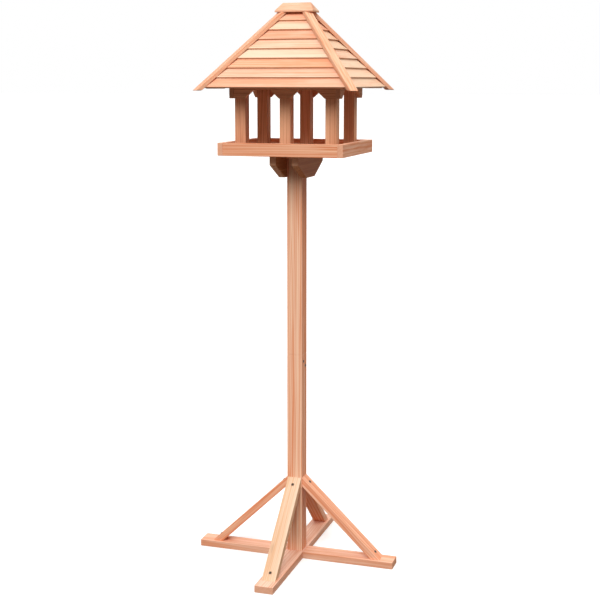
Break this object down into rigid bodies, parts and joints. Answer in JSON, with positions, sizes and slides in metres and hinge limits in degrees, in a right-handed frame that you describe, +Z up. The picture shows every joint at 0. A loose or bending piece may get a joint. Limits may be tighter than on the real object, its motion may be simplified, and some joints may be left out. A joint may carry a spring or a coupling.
{
  "type": "bird table",
  "caption": "Roofed wooden feeding house with a rimmed tray, on a square post with a crossed foot and braces.",
  "frame": {"origin": "on the ground, at the centre of the crossed foot and of the post", "axes": "+Z up along the post, -Y towards the front of the house (its longer side), +X to the right"},
  "size_m": [0.53, 0.53, 1.433],
  "materials": {
    "stand_wood": "planed, untreated or lightly oiled softwood",
    "tray_wood": "planed, lightly oiled softwood",
    "house_wood": "planed, lightly oiled softwood",
    "roof_wood": "planed, lightly oiled softwood"
  },
  "bodies": {
    "root": {"foot_board_front_back": "stand_wood", "foot_board_side_to_side": "stand_wood", "brace_front": "stand_wood", "brace_back": "stand_wood", "brace_left": "stand_wood", "brace_right": "stand_wood", "post_lower": "stand_wood", "post_upper": "stand_wood", "cheek_board_left": "tray_wood", "cheek_board_right": "tray_wood", "tray_floor": "tray_wood", "tray_rim_front": "tray_wood", "tray_rim_back": "tray_wood", "tray_rim_left": "tray_wood", "tray_rim_right": "tray_wood", "house_post_front_left": "house_wood", "house_post_front_middle": "house_wood", "house_post_front_right": "house_wood", "house_post_back_left": "house_wood", "house_post_back_middle": "house_wood", "house_post_back_right": "house_wood", "valance_front": "house_wood", "valance_back": "house_wood", "valance_left": "house_wood", "valance_right": "house_wood", "hip_rafter_front_left": "house_wood", "hip_rafter_front_right": "house_wood", "hip_rafter_back_left": "house_wood", "hip_rafter_back_right": "house_wood", "roof_boards_front": "roof_wood", "roof_boards_back": "roof_wood", "roof_boards_left": "roof_wood", "roof_boards_right": "roof_wood", "hip_batten_front_left": "roof_wood", "hip_batten_front_right": "roof_wood", "hip_batten_back_left": "roof_wood", "hip_batten_back_right": "roof_wood", "cap_packer": "roof_wood", "roof_cap": "roof_wood"}
  },
  "joints": []
}
